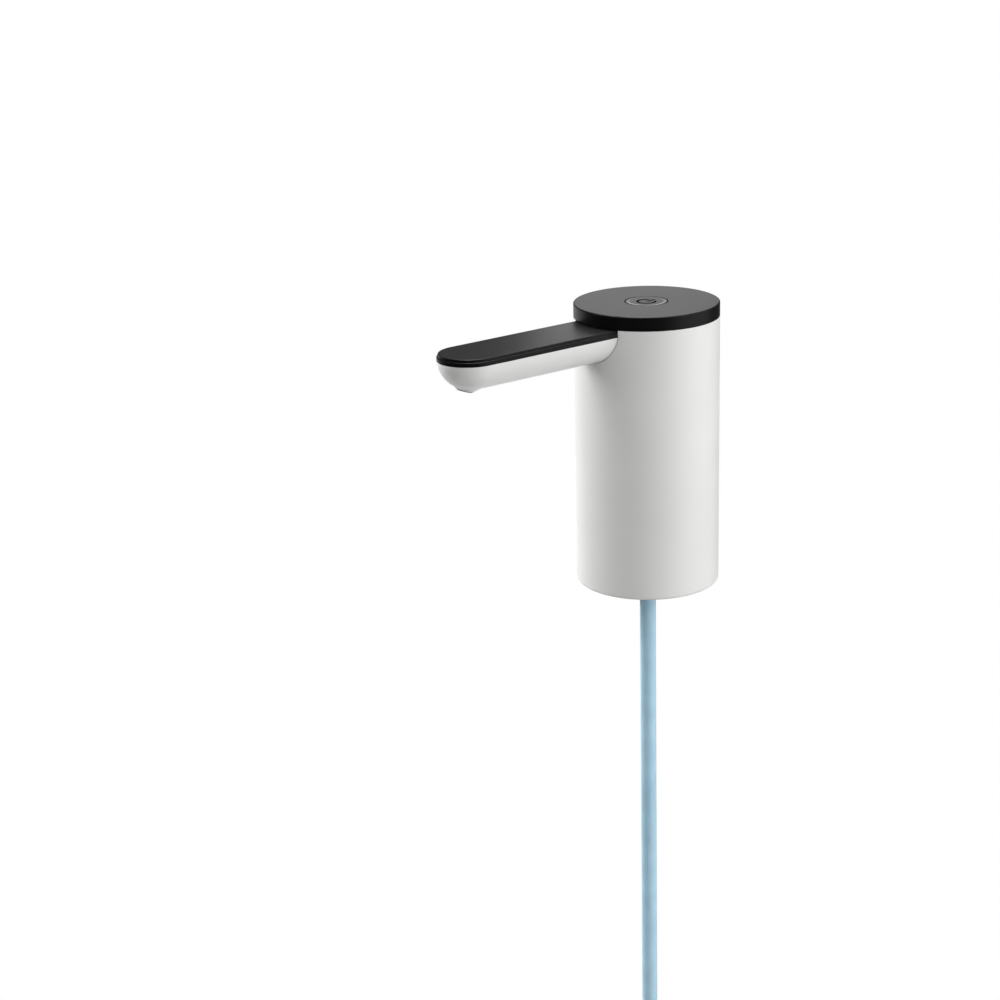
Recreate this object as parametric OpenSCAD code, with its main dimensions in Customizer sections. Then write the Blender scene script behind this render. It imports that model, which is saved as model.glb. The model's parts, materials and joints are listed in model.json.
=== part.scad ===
// Electric water jug pump: a round body that sits over a bottle's neck, with a spout arm, a push button,
// a motor-driven gear pump and a suction hose. Millimetres, +Z up, the arm points along -Y.
// The origin lies on the body's axis, in the plane of the bottom rim: the mouth of the neck socket.

/* [Body] */
// Outside diameter of the round body and of its lid
body_d = 70; // [69:0.5:76]
// Height of the body, from its bottom rim to the joint under the lid
body_h = 132.9; // [130:0.1:145]
// Thickness of the body's wall
body_wall = 2.8; // [2:0.1:3]
// Rounding of the bottom rim's outer edge
rim_round = 1.5; // [0.4:0.1:1.6]

/* [Lid and button] */
// Height of the lid above the body
lid_h = 6.7; // [6:0.1:9]
// Thickness of the lid's top
lid_top = 2.4; // [1.8:0.1:3]
// Rounding of the lid's top edge
lid_round = 0.6; // [0.2:0.1:1.2]
// Depth of the lid's spigot inside the body
spigot_h = 3.6; // [3:0.1:4.4]
// Diameter of the push button
button_d = 20; // [16:0.5:22]
// Gap between the button and the lid
button_gap = 0.3; // [0.2:0.05:0.5]
// Travel of the button when it is pressed
button_travel = 0.6; // [0.3:0.1:0.8]

/* [Arm] */
// Reach of the arm, from the body's axis to its tip
arm_reach = 121; // [100:1:140]
// Half of the arm's width
arm_r = 15; // [13.5:0.5:16]
// Wall of the arm's shell
arm_wall = 2; // [1.4:0.1:2.4]
// Thickness of the arm's cover
cover_h = 3.3; // [2.4:0.1:4]
// Width of the step round the cover's edge
cover_step_w = 0.6; // [0.5:0.1:1.6]
// Height of the step round the cover's edge
cover_step_h = 1.3; // [0.8:0.1:1.6]
// Tilt of the nozzle's mouth from the horizontal
nozzle_tilt = 18; // [5:1:22]
// Radius of the nozzle's mouth
mouth_r = 3.7; // [3.3:0.1:4]

/* [Neck socket] */
// Diameter of the bottle's neck that the socket takes
neck_d = 55; // [53:0.5:56]
// Depth of the socket
neck_depth = 24; // [18:0.5:30]
// Number of ribs inside the grip sleeve
grip_ribs = 16; // [8:1:24]

/* [Pump and motor] */
// Teeth of each pump gear
gear_teeth = 10; // [9:1:12]
// Module of the pump gears
gear_module = 1; // [0.9:0.05:1.1]
// Width of the pump gears
gear_w = 8; // [5:0.5:10]
// Diameter of the motor's can
motor_d = 24.4; // [22:0.1:25]
// Length of the motor without its shaft
motor_l = 30.8; // [28:0.1:36]
// Diameter of the motor's shaft
shaft_d = 2; // [1.5:0.1:2.3]

/* [Battery and board] */
// Diameter of the round cell
cell_d = 18.4; // [16:0.1:19]
// Length of the round cell
cell_l = 65; // [50:1:68]
// Width of the circuit board
board_w = 30; // [26:0.5:32]
// Height of the circuit board
board_h = 42; // [38:1:50]

/* [Hose and tube] */
// Outside diameter of the suction hose and of the delivery tube
hose_d = 8; // [7:0.1:9]
// Wall of the suction hose and of the delivery tube
hose_wall = 1.25; // [1:0.05:1.5]
// Bend radius of the delivery tube where it turns into the arm
bend_r = 10; // [8:0.5:12]

/* [Hidden] */
$fn = 64;
// Clearances
fit = 0.1;
run_fit = 0.05;
press_fit = 0.02;
stop_gap = 0.1;
seam_gap = 0.2;
screw_gap = 0.2;
over = 1;
eps = 0.01;
// Body, collar and chassis levels, from the bottom rim upwards
body_r = body_d / 2;
bore_r = body_r - body_wall;
ceiling_t = 2.6;
shelf_t = 2;
shelf_w = 3;
floor_t = 3;
shelf_z = neck_depth + ceiling_t;
floor_z = shelf_z + shelf_t;
deck_z = floor_z + floor_t;
neck_r = neck_d / 2;
collar_inset = 0.5;
collar_lip_h = 3;
collar_r = bore_r - fit;
collar_lip_gap = 1.2;
chassis_screw_in = 3.4;
chassis_screw_ring = bore_r - shelf_w - chassis_screw_in;
chassis_boss_r = 3;
chassis_boss_h = 4;
head_inset = 0.1;
grip_t = 2.4;
grip_r = neck_r + grip_t;
grip_rib_r = 0.8;
// Lid levels
lid_under = body_h + lid_h - lid_top;
lid_z = body_h + lid_h;
spigot_r = bore_r - fit;
spigot_wall = 1.6;
arm_pass = 1.2;
spigot_gap_half = asin((arm_r + arm_pass) / (spigot_r - spigot_wall));
bead_r = 0.5;
bead_z = body_h - 2.2;
bead_ring_r = spigot_r - 0.2;
gasket_h = 0.6;
gasket_w = 1;
gasket_r = (body_r + bore_r) / 2;
// Button, switch and switch board levels
button_r = button_d / 2;
button_round = 0.3;
dish_land = 0.1;
dish_w = 1.5;
dish_depth = 0.16;
dish_r = button_r - button_round - dish_land;
button_skirt = 1.8;
button_plate = 2.2;
hole_chamfer = 0.3;
stem_wall = 0.8;
guide_r = button_r + button_gap;
guide_h = 2.2;
guide_wall = 1.6;
flange_w = 1.6;
flange_t = 1.2;
flange_top = lid_under - guide_h - stop_gap;
stem_r = 2.2;
stem_h = 1.6;
plunger_r = 1.7;
plunger_out = 1.2;
plunger_in = 1.5;
plunger_over = 0.2;
plunger_top = flange_top - flange_t - stem_h - run_fit;
switch_w = 6;
switch_h = 3.5;
switch_z = plunger_top - plunger_out - switch_h;
board_t = 1.6;
post_r = 2.4;
post_gap = 0.5;
post_y = button_r + flange_w + post_gap + post_r;
post_pilot_l = 7;
switch_screw_grip = 5;
switch_board_edge = 0.4;
switch_board_l = 2 * (post_y + post_r + switch_board_edge);
switch_board_w = 14;
// Arm: the trough under the seam is part of a circle whose centre lies a little above the seam
lid_gap = 0.15;
cover_top = body_h - lid_gap;
seam_z = cover_top - cover_h;
nose_y = arm_reach - arm_r;
arm_flat = 1.2;
arm_depth = arm_r - arm_flat;
section_r = (pow(arm_r, 2) + pow(arm_depth, 2)) / (2 * arm_depth);
section_rise = section_r - arm_depth;
nose_z = seam_z + section_rise;
arm_bore_r = section_r - arm_wall;
pass_r = section_r + seam_gap;
pass_half = sqrt(pow(pass_r, 2) - pow(section_rise, 2));
ledge_round = 0.4;
plate_round = 0.4;
lip_h = 2;
lip_w = 1.2;
lip_r = sqrt(pow(arm_bore_r, 2) - pow(section_rise + lip_h, 2)) - fit;
ear_r = 3.6;
ear_t = 3;
ear_drop = 5;
ear_z = seam_z - ear_drop;
ear_side = 0.9;
ear_back = 1.4;
ear_x = arm_r + ear_r + ear_side;
ear_y = sqrt(pow(bore_r - ear_r - ear_back, 2) - pow(ear_x, 2));
root_y = ear_y - ear_r;
cover_lap = 5;
cover_root_y = bore_r - cover_lap;
boss_l = 22;
boss_rib_t = 2.4;
pilot_r = 0.9;
pilot_l = 12;
arm_screw_grip = 8;
// Nozzle, in a frame at the nose's centre that is turned by the tilt
mouth_proud = 0.3;
mouth_out = section_r + mouth_proud;
mouth_back = 1.45;
stub_wall = 0.4;
stub_r = mouth_r + stub_wall;
stub_h = 3.2;
stub_flare = 1.1;
nozzle_r = mouth_r - fit;
nozzle_wall = 0.9;
nozzle_bore = nozzle_r - nozzle_wall;
nozzle_proud = 0.4;
seat_in = 11.2;
collar_w = 1;
collar_h = 1.2;
elbow_round = 0.2;
// Pump gears: involute teeth with clearance at root and flank
pressure = 28;
pitch_r = gear_teeth * gear_module / 2;
base_r = pitch_r * cos(pressure);
tip_share = 0.9;
root_share = 1.15;
tip_r = pitch_r + tip_share * gear_module;
root_r = pitch_r - root_share * gear_module;
flank_play = 0.16;
flank_steps = 5;
flank_from = max(base_r, root_r);
gear_gap = 0.2;
face_gap = 0.1;
centre_d = 2 * pitch_r;
port_share = 0.75;
port_off = port_share * tip_r;
pump_y = -port_off;
port_r = 2.4;
// Pump levels and walls
chamber_wall = 3;
cover_t = 3;
gasket_t = 0.6;
gasket_z = deck_z + cover_t;
chamber_z = gasket_z + gasket_t;
gear_z = chamber_z + face_gap;
chamber_h = gear_w + 2 * face_gap;
head_t = 4;
motor_z = chamber_z + chamber_h + head_t;
chamber_r = tip_r + gear_gap;
block_r = chamber_r + chamber_wall;
screw_inset = 2.7;
screw_off = (chamber_r + screw_inset) / sqrt(2);
screw_boss_r = 3;
screw_r = 1.1;
screw_head_r = 2;
screw_head_h = 1.5;
cross_l = 2.4;
cross_w = 0.5;
skirt_h = 4;
skirt_wall = 1.5;
pin_r = 1.5;
pin_grip = 2;
seal_r = 3;
seal_h = 1.5;
shaft_gap = 0.3;
// Motor
motor_r = motor_d / 2;
motor_x = centre_d / 2;
can_wall = 0.9;
can_face = 1.2;
can_bore_r = motor_r - can_wall;
cap_h = 4;
can_top = motor_z + motor_l - cap_h;
motor_top = motor_z + motor_l;
nose_boss_r = 3.1;
nose_boss_h = 1.5;
shaft_r = shaft_d / 2;
bush_r = shaft_r + 1.2;
magnet_t = 2.5;
magnet_l = 20;
magnet_arc = 130;
magnet_r = can_bore_r - run_fit;
stack_r = magnet_r - magnet_t - 0.4;
stack_l = 16;
stack_z = motor_z + can_face + 3.6;
shoe_t = 1.1;
pole_w = 3;
pole_half_angle = 48;
hub_r = 3;
coil_end = 1.8;
coil_half_w = 3.3;
coil_in = 3.4;
coil_out = sqrt(pow(stack_r - shoe_t - fit, 2) - pow(coil_half_w, 2));
comm_r = 2.7;
comm_z = stack_z + stack_l + coil_end + 0.4;
rotor_gap = 0.3;
comm_l = can_top - rotor_gap - comm_z;
comm_slot = 0.4;
comm_core = 0.7;
cap_gap = 0.4;
cap_lip = 1.6;
cap_web = 1;
shaft_end = 0.6;
brush_l = 3;
brush_w = 2;
brush_h = 1.6;
blade_t = 0.6;
blade_h = 2.8;
tab_w = 2.8;
tab_t = 0.5;
tab_l = 4;
tab_off = motor_r - 4.2;
// Cell and its cradle, beside the motor
cell_r = cell_d / 2;
cradle_wall = 1.4;
cradle_gap = 0.15;
cradle_r = cell_r + cradle_gap;
cradle_edge = 0.6;
cell_ring = bore_r - seam_gap - cradle_edge - cradle_wall - cradle_r;
cell_y = 3;
cell_x = -sqrt(pow(cell_ring, 2) - pow(cell_y, 2));
strip_t = 0.3;
strip_w = 7;
shelf_plate_t = 1.6;
shelf_top = motor_z + skirt_h + stop_gap + shelf_plate_t;
cell_z = shelf_top + strip_t;
cradle_h = cell_l - 5;
cradle_from = 95 + asin(strip_w / 2 / cradle_r);
cradle_arc = 300 - cradle_from;
cradle_leg_arc = 230 - cradle_from;
cap_r = cell_r * 0.45;
cap_step = 1;
strip_lap = 4;
// Circuit board and charging socket at the back
usb_w = 8.94;
usb_h = 3.26;
usb_l = 8;
usb_skin = 0.3;
usb_back = 1.4;
tongue_w = 6.6;
tongue_t = 0.7;
tongue_inset = 1.2;
board_out = bore_r - usb_l;
board_in = board_out - board_t;
board_z = deck_z + 8;
usb_z = board_z + 12;
plug_w = 10.6;
plug_h = 4.8;
rail_w = 4;
rail_wall = 1.4;
rail_lap = 1.5;
rail_top = board_z + 22;
plug_z = board_z + board_h - 6;
plug_l = 5;
plug_h2 = 2.25;
// Delivery tube: up behind the motor, then along the arm
hose_r = hose_d / 2;
hose_bore = hose_r - hose_wall;
barb_r = hose_bore - fit;
barb_wall = 0.8;
barb_bore = barb_r - barb_wall;
tube_gap = 1;
tube_y = pump_y - motor_r - fit - skirt_wall - tube_gap - hose_r;
tube_z = seam_z - arm_depth / 2;
outlet_edge = 0.2;
outlet_r = hose_r + outlet_edge;
outlet_z = chamber_z + max(outlet_r, chamber_h / 2);
outlet_neck = 1;
outlet_top = outlet_z + outlet_r + outlet_neck;
barb_l = 11;
slot_r = hose_r + 1.4;
floor_rise = nose_z - arm_bore_r - tube_z + bend_r;
slot_front = tube_y - bend_r + sqrt(max(0, pow(bend_r - hose_r, 2) - pow(floor_rise, 2))) - 1;
elbow_y = nose_y + (nose_z - tube_z - mouth_back * sin(nozzle_tilt)) * tan(nozzle_tilt)
          - mouth_back * cos(nozzle_tilt);
tube_end = elbow_y - 6;
// Suction hose: its route hangs straight down from the nipple's shoulder, points in millimetres
shoulder_z = neck_depth - 2;
hose_route = [for (z = [shoulder_z, 10, -10, -30, -50, -70, -90, -110, -130, -150, -170, -190, -210, -230,
                        -250, -270, -290, -310, -330, -350, -370, -390, -410, -430, -438]) [0, 0, z]];
hose_sides = 12;
hose_notch = 5;
nipple_flange_r = 8;
nipple_neck_r = 4;
nipple_barbs = 4;
barb_pitch = 4;
barb_rise = 3;
barb_bite = 0.4;
spigot_bore = 3.3;
spigot_in = 2.1;
seal_d = 1.3;
// Leads: routes in millimetres, and the radius of their insulation
lead_r = 0.7;
lead_sides = 8;
tab_z = motor_top + tab_l + fit;
plug_y = board_in - 2.5;
plug_top = plug_z + plug_h2 + fit;
pad_z = board_z + 28;
motor_lead_a = [[motor_x, pump_y + tab_off, tab_z], [motor_x, pump_y + tab_off, tab_z + 3],
                [6, 8, tab_z + 6], [8, 14, tab_z + 5], [8.2, plug_y - 1, tab_z],
                [8.2, plug_y, plug_top + 2], [8.2, plug_y, plug_top]];
motor_lead_b = [[motor_x, pump_y - tab_off, tab_z], [motor_x, pump_y - tab_off, tab_z + 3],
                [6, -8, tab_z + 8], [9, 1, tab_z + 10], [10, 12, tab_z + 9], [9.8, plug_y - 1, tab_z + 4],
                [9.8, plug_y, plug_top + 2], [9.8, plug_y, plug_top]];
switch_foot = switch_z - board_t - fit;
switch_lead_a = [[-2, 5, switch_foot], [-2, 5, switch_foot - 3], [-1.8, 7, 114], [-1.4, 11, 104],
                 [-1, 17, 96], [-0.8, plug_y, 88], [-0.8, plug_y, plug_top + 2],
                 [-0.8, plug_y, plug_top]];
lead_pitch = 1.8;
switch_lead_b = [for (p = switch_lead_a) p + [lead_pitch, 0, 0]];
cell_top = cell_z + cell_l + strip_t + fit;
cell_lead_a = [[cell_x, cell_y, cell_top], [cell_x, cell_y, cell_top + 2.5], [-17.5, 8, cell_top + 5],
               [-13, 15, cell_top + 1], [-10.4, 19, 102], [-9.8, plug_y, 88], [-9.8, plug_y, plug_top + 2],
               [-9.8, plug_y, plug_top]];
strip_end = cell_y + cell_r + strip_lap - 1;
strip_top = shelf_top + strip_t + fit;
cell_lead_b = [[cell_x, strip_end, strip_top], [cell_x, strip_end, strip_top + 3], [-17.5, 16, 60],
               [-13.5, 17, 65], [-11, 18.5, pad_z], [-10.6, board_in - 2, pad_z],
               [-10.6, board_in - fit, pad_z]];

white = [0.93, 0.93, 0.92];
black = [0.10, 0.10, 0.10];
grey = [0.55, 0.56, 0.57];
steel = [0.70, 0.71, 0.73];
copper = [0.72, 0.43, 0.22];
brass = [0.80, 0.66, 0.33];
board_green = [0.07, 0.33, 0.20];
silicone = [0.85, 0.87, 0.88];
hose_blue = [0.62, 0.78, 0.92];
magnet_grey = [0.25, 0.25, 0.27];
cell_blue = [0.20, 0.45, 0.62];
lead_red = [0.75, 0.12, 0.10];

// Shared shapes

// Half-profile of a plate from z0 to z1 whose upper outer edge is rounded
module edge_rounded(w, z0, z1, r) {
  translate([0, z0]) square([w, z1 - z0 - r]);
  translate([0, z0]) square([w - r, z1 - z0]);
  translate([w - r, z1 - r]) circle(r);
}

// A slot with round ends, w wide and h high
module stadium(w, h) {
  square([w - h, h], center = true);
  for (s = [-1, 1]) translate([s * (w - h) / 2, 0]) circle(h / 2);
}

// Tube or rod from z0 to z1
module ring(r_out, r_in, z0, z1) {
  translate([0, 0, z0]) difference() {
    cylinder(r = r_out, h = z1 - z0);
    translate([0, 0, -1]) cylinder(r = r_in, h = z1 - z0 + 2);
  }
}

// Pan-head screw that points up, its head's seat at z = 0
module screw_up(l, r = screw_r) {
  cylinder(r = r, h = l);
  translate([0, 0, -screw_head_h]) difference() {
    cylinder(r = screw_head_r, h = screw_head_h);
    for (a = [0, 90]) rotate([0, 0, a]) cube([cross_l, cross_w, screw_head_h], center = true);
  }
}

// Both posts under the lid, which carry the switch board
module at_posts() {
  for (s = [-1, 1]) translate([0, s * post_y, 0]) children();
}

// Both ears, and the bosses under them
module at_ears() {
  for (s = [-1, 1]) translate([s * ear_x, -ear_y, 0]) children();
}

// The four screws that hold the pump
module at_pump_screws() {
  for (sx = [-1, 1], sy = [-1, 1])
    translate([sx * (centre_d / 2 + screw_off), pump_y + sy * screw_off, 0]) children();
}

// The four screws that hold the chassis to the collar
module at_chassis_screws() {
  for (a = [45:90:315]) rotate([0, 0, a]) translate([chassis_screw_ring, 0, 0]) children();
}

// Both gear centres
module at_gears() {
  for (s = [-1, 1]) translate([s * centre_d / 2, pump_y, 0]) children();
}

// The motor's axis
module at_motor() {
  translate([motor_x, pump_y, 0]) children();
}

// The nozzle's frame: its -Z axis leaves through the mouth
module at_nozzle() {
  translate([0, -nose_y, nose_z]) rotate([-nozzle_tilt, 0, 0]) translate([0, mouth_back, 0]) children();
}

// Sweep of a round tube along a route, with an optional bore
function dir(p, i) = let (a = p[max(i - 1, 0)], b = p[min(i + 1, len(p) - 1)]) (b - a) / norm(b - a);
function side_axis(d) = let (u = abs(d[0]) < 0.9 ? cross(d, [1, 0, 0]) : cross(d, [0, 1, 0])) u / norm(u);
function tube_ring(p, d, r, n) =
  let (u = side_axis(d), v = cross(d, u))
    [for (k = [0:n - 1]) p + r * (cos(360 * k / n) * u + sin(360 * k / n) * v)];
function band(a, b, n) =
  [for (k = [0:n - 1]) let (m = (k + 1) % n) each [[a + k, b + m, a + m], [a + k, b + k, b + m]]];
module rod_along(p, r, n) {
  c = len(p);
  points = [for (i = [0:c - 1]) each tube_ring(p[i], dir(p, i), r, n)];
  sides = [for (i = [0:c - 2]) each band(i * n, (i + 1) * n, n)];
  start = [for (k = [1:n - 2]) [0, k, k + 1]];
  end = [for (k = [1:n - 2]) [(c - 1) * n, (c - 1) * n + k + 1, (c - 1) * n + k]];
  polyhedron(points, concat(sides, start, end));
}
module tube_along(p, r_out, r_in, n) {
  c = len(p);
  outer = [for (i = [0:c - 1]) each tube_ring(p[i], dir(p, i), r_out, n)];
  inner = [for (i = [0:c - 1]) each tube_ring(p[i], dir(p, i), r_in, n)];
  m = c * n;
  out_sides = [for (i = [0:c - 2]) each band(i * n, (i + 1) * n, n)];
  in_sides = [for (i = [0:c - 2]) each band(m + (i + 1) * n, m + i * n, n)];
  start = band(m, 0, n);
  end = band((c - 1) * n, m + (c - 1) * n, n);
  polyhedron(concat(outer, inner), concat(out_sides, in_sides, start, end));
}

// Outer body

module body_shell() {
  color(white) difference() {
    union() {
      rotate_extrude() difference() {
        union() {
          translate([0, rim_round]) square([body_r, body_h - rim_round]);
          square([body_r - rim_round, body_h]);
          translate([body_r - rim_round, rim_round]) circle(rim_round);
        }
        translate([-1, -1]) square([bore_r + 1, shelf_z + 1]);
        translate([-1, shelf_z - 1]) square([bore_r - shelf_w + 1, shelf_t + 2]);
        translate([-1, floor_z]) square([bore_r + 1, body_h]);
        translate([bead_ring_r, bead_z]) circle(bead_r + fit);
      }
      at_ears() translate([0, 0, ear_z - boss_l]) cylinder(r = ear_r, h = boss_l);
      for (s = [-1, 1]) intersection() {
        translate([0, 0, ear_z - boss_l]) cylinder(r = bore_r + body_wall / 2, h = boss_l);
        translate([s * ear_x, -ear_y, ear_z - boss_l]) rotate([0, 0, atan2(-ear_y, s * ear_x)])
          translate([0, -boss_rib_t / 2, 0]) cube([body_r, boss_rib_t, boss_l]);
      }
    }
    at_ears() translate([0, 0, ear_z - pilot_l]) cylinder(r = pilot_r, h = pilot_l + over);
    translate([0, 0, seam_z]) rotate([90, 0, 0]) linear_extrude(body_r + 1) {
      intersection() {
        translate([0, section_rise]) circle(pass_r);
        translate([-body_r, -body_r]) square([body_d, body_r + eps]);
      }
      translate([-pass_half, 0]) square([2 * pass_half, cover_h + 2]);
    }
    translate([0, 0, usb_z]) rotate([-90, 0, 0]) linear_extrude(body_r + 1) stadium(plug_w, plug_h);
  }
}

module top_lid() {
  color(black) difference() {
    union() {
      rotate_extrude() difference() {
        edge_rounded(body_r, body_h, lid_z, lid_round);
        translate([-1, body_h - 1]) square([bore_r + 1, lid_h - lid_top + 1]);
        translate([gasket_r - gasket_w / 2 - run_fit, body_h - 1])
          square([gasket_w + 2 * run_fit, gasket_h + 1]);
      }
      rotate([0, 0, spigot_gap_half - 90]) rotate_extrude(angle = 360 - 2 * spigot_gap_half) {
        translate([spigot_r - spigot_wall, body_h - spigot_h])
          square([spigot_wall, spigot_h + lid_under - body_h + eps]);
        translate([bead_ring_r, bead_z]) circle(bead_r);
      }
      ring(guide_r + guide_wall, guide_r, lid_under - guide_h, lid_under + eps);
      at_posts() translate([0, 0, switch_z]) cylinder(r = post_r, h = lid_under - switch_z + eps);
    }
    translate([0, 0, lid_under - 1]) cylinder(r = guide_r, h = lid_top + 2);
    translate([0, 0, lid_z - hole_chamfer])
      cylinder(r1 = guide_r, r2 = guide_r + hole_chamfer + over, h = hole_chamfer + over);
    at_posts() translate([0, 0, switch_z - over]) cylinder(r = pilot_r, h = post_pilot_l + over);
  }
}

module lid_gasket() {
  color(grey) ring(gasket_r + gasket_w / 2, gasket_r - gasket_w / 2, body_h, body_h + gasket_h);
}

module button_cap() {
  color(black) difference() {
    union() {
      rotate_extrude() edge_rounded(button_r, flange_top - flange_t, lid_z, button_round);
      translate([0, 0, flange_top - flange_t]) cylinder(r = button_r + flange_w, h = flange_t);
      translate([0, 0, flange_top - flange_t - stem_h]) cylinder(r = stem_r, h = stem_h + eps);
    }
    translate([0, 0, lid_z - dish_depth])
      cylinder(r1 = dish_r - dish_w, r2 = dish_r + dish_w * over / dish_depth, h = dish_depth + over);
    ring(button_r - button_skirt, stem_r + stem_wall, flange_top - flange_t - over, lid_z - button_plate);
  }
}

module switch_plunger() {
  color(black) translate([0, 0, plunger_top - plunger_out - plunger_in])
    cylinder(r = plunger_r, h = plunger_out + plunger_in);
}

module tact_switch() {
  color(grey) difference() {
    translate([-switch_w / 2, -switch_w / 2, switch_z]) cube([switch_w, switch_w, switch_h]);
    translate([0, 0, switch_z + switch_h - plunger_in - button_travel - plunger_over])
      cylinder(r = plunger_r + fit, h = switch_h);
  }
}

module switch_board() {
  color(board_green) difference() {
    translate([-switch_board_w / 2, -switch_board_l / 2, switch_z - board_t])
      cube([switch_board_w, switch_board_l, board_t]);
    at_posts() translate([0, 0, switch_z - board_t - over])
      cylinder(r = pilot_r + screw_gap, h = board_t + 2 * over);
  }
}

module switch_screws() {
  color(steel) at_posts() translate([0, 0, switch_z - board_t])
    screw_up(board_t + switch_screw_grip, pilot_r - run_fit);
}

// Spout arm

// Part of a disc under the seam line
module arm_section(r) {
  intersection() {
    translate([0, section_rise]) circle(r);
    translate([-r, -r]) square([2 * r, r]);
  }
}

// Round trough of radius r from the root to the nose, which is part of a sphere
module arm_trough(r, from_y) {
  translate([0, -from_y, seam_z]) rotate([90, 0, 0]) linear_extrude(nose_y - from_y) arm_section(r);
  translate([0, -nose_y, seam_z]) rotate([0, 0, 180]) rotate_extrude(angle = 180) intersection() {
    arm_section(r);
    translate([0, -r]) square([r, r]);
  }
}

module arm_shell() {
  ear_link = sqrt(pow(section_r, 2) - pow(nose_z - ear_z, 2)) - arm_wall / 2;
  color(white) difference() {
    union() {
      difference() {
        arm_trough(section_r, root_y);
        arm_trough(arm_bore_r, root_y - 1);
      }
      difference() {
        at_nozzle() translate([0, 0, -mouth_out])
          cylinder(r1 = stub_r, r2 = stub_r + stub_flare * stub_h, h = stub_h);
        arm_trough(arm_bore_r + arm_wall / 2, root_y - 1);
      }
      at_nozzle() translate([0, 0, -mouth_out]) cylinder(r = stub_r, h = mouth_out - seat_in);
      at_ears() translate([0, 0, ear_z]) cylinder(r = ear_r, h = ear_t);
      for (s = [-1, 1]) translate([s > 0 ? ear_link : -ear_x, -ear_y - ear_r, ear_z])
        cube([ear_x - ear_link, 2 * ear_r, ear_t]);
    }
    at_nozzle() translate([0, 0, -mouth_out - 1]) cylinder(r = mouth_r, h = mouth_out - seat_in + 2);
    at_ears() translate([0, 0, ear_z - 1]) cylinder(r = pilot_r + screw_gap, h = ear_t + 2);
    translate([0, slot_front + slot_r, seam_z - arm_depth - 1]) cylinder(r = slot_r, h = arm_depth / 2);
    translate([-slot_r, slot_front + slot_r, seam_z - arm_depth - 1])
      cube([2 * slot_r, -slot_front, arm_depth / 2]);
  }
}

// Half-profile of the cover, from the arm's middle plane outwards, above the seam
module cover_profile() {
  edge_rounded(arm_r, 0, cover_h - cover_step_h, ledge_round);
  edge_rounded(arm_r - cover_step_w, 0, cover_h, plate_round);
}

// Half-profile of the lip that locates the cover inside the shell
module cover_lip() {
  translate([lip_r - lip_w, -lip_h]) square([lip_w, lip_h + eps]);
}

module arm_cover() {
  color(black) {
    translate([0, -cover_root_y, seam_z]) rotate([90, 0, 0]) linear_extrude(nose_y - cover_root_y) {
      cover_profile();
      mirror([1, 0]) cover_profile();
      cover_lip();
      mirror([1, 0]) cover_lip();
    }
    translate([0, -nose_y, seam_z]) rotate([0, 0, 180]) rotate_extrude(angle = 180) {
      cover_profile();
      cover_lip();
    }
  }
}

module nozzle() {
  elbow_drop = (nose_z - tube_z - mouth_back * sin(nozzle_tilt)) / cos(nozzle_tilt);
  color(grey) difference() {
    union() {
      at_nozzle() translate([0, 0, -mouth_out - nozzle_proud])
        cylinder(r = nozzle_r, h = mouth_out + nozzle_proud - elbow_drop);
      at_nozzle() translate([0, 0, -seat_in + run_fit]) cylinder(r = nozzle_r + collar_w, h = collar_h);
      translate([0, -elbow_y, tube_z]) sphere(nozzle_r + elbow_round);
      translate([0, -elbow_y, tube_z]) rotate([-90, 0, 0]) cylinder(r = nozzle_r, h = elbow_y - tube_end);
      translate([0, -elbow_y, tube_z]) rotate([-90, 0, 0])
        cylinder(r = barb_r, h = elbow_y - tube_end + barb_l);
    }
    at_nozzle() translate([0, 0, -mouth_out - over])
      cylinder(r = nozzle_bore, h = mouth_out - elbow_drop + over);
    translate([0, -elbow_y, tube_z]) sphere(nozzle_bore + elbow_round);
    translate([0, -elbow_y, tube_z]) rotate([-90, 0, 0]) cylinder(r = barb_bore, h = elbow_y + 1);
  }
}

module arm_screws() {
  color(steel) at_ears() translate([0, 0, ear_z + ear_t]) mirror([0, 0, 1])
    screw_up(ear_t + arm_screw_grip, pilot_r - run_fit);
}

module delivery_tube() {
  tube_foot = outlet_top + fit;
  color(silicone) {
    translate([0, tube_y, 0]) ring(hose_r, hose_bore, tube_foot, tube_z - bend_r);
    translate([0, tube_y - bend_r, tube_z - bend_r]) rotate([90, 0, 90]) rotate_extrude(angle = 90)
      translate([bend_r, 0]) difference() {
      circle(hose_r);
      circle(hose_bore);
    }
    translate([0, tube_y - bend_r, tube_z]) rotate([90, 0, 0])
      ring(hose_r, hose_bore, 0, tube_end + tube_y - bend_r - fit);
  }
}

// Neck socket

module neck_collar() {
  color(white) difference() {
    rotate_extrude() difference() {
      translate([0, collar_inset]) square([collar_r, shelf_z - collar_inset]);
      translate([-1, collar_inset - 1]) square([neck_r + collar_lip_gap + 1, collar_lip_h + 2]);
      translate([-1, collar_inset + collar_lip_h])
        square([grip_r + 1, neck_depth - collar_inset - collar_lip_h]);
    }
    translate([0, 0, neck_depth - 1]) cylinder(r = nipple_neck_r + fit, h = ceiling_t + 2);
    at_chassis_screws() translate([0, 0, neck_depth - 1])
      cylinder(r = screw_r + screw_gap, h = ceiling_t + 2);
    at_chassis_screws() translate([0, 0, neck_depth - 1])
      cylinder(r = screw_head_r + screw_gap, h = screw_head_h + head_inset + 1);
  }
}

module neck_grip() {
  sleeve_r = neck_r + grip_rib_r + fit;
  z0 = collar_inset + collar_lip_h + run_fit;
  color(grey) translate([0, 0, z0]) linear_extrude(neck_depth - run_fit - z0) difference() {
    circle(grip_r - run_fit);
    difference() {
      circle(sleeve_r);
      for (k = [0:grip_ribs - 1]) rotate((k + 0.5) * 360 / grip_ribs)
        translate([sleeve_r, 0]) circle(grip_rib_r);
    }
  }
}

module chassis_screws() {
  color(steel) at_chassis_screws() translate([0, 0, neck_depth + screw_head_h + head_inset])
    screw_up(ceiling_t + shelf_t + floor_t);
}

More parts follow.
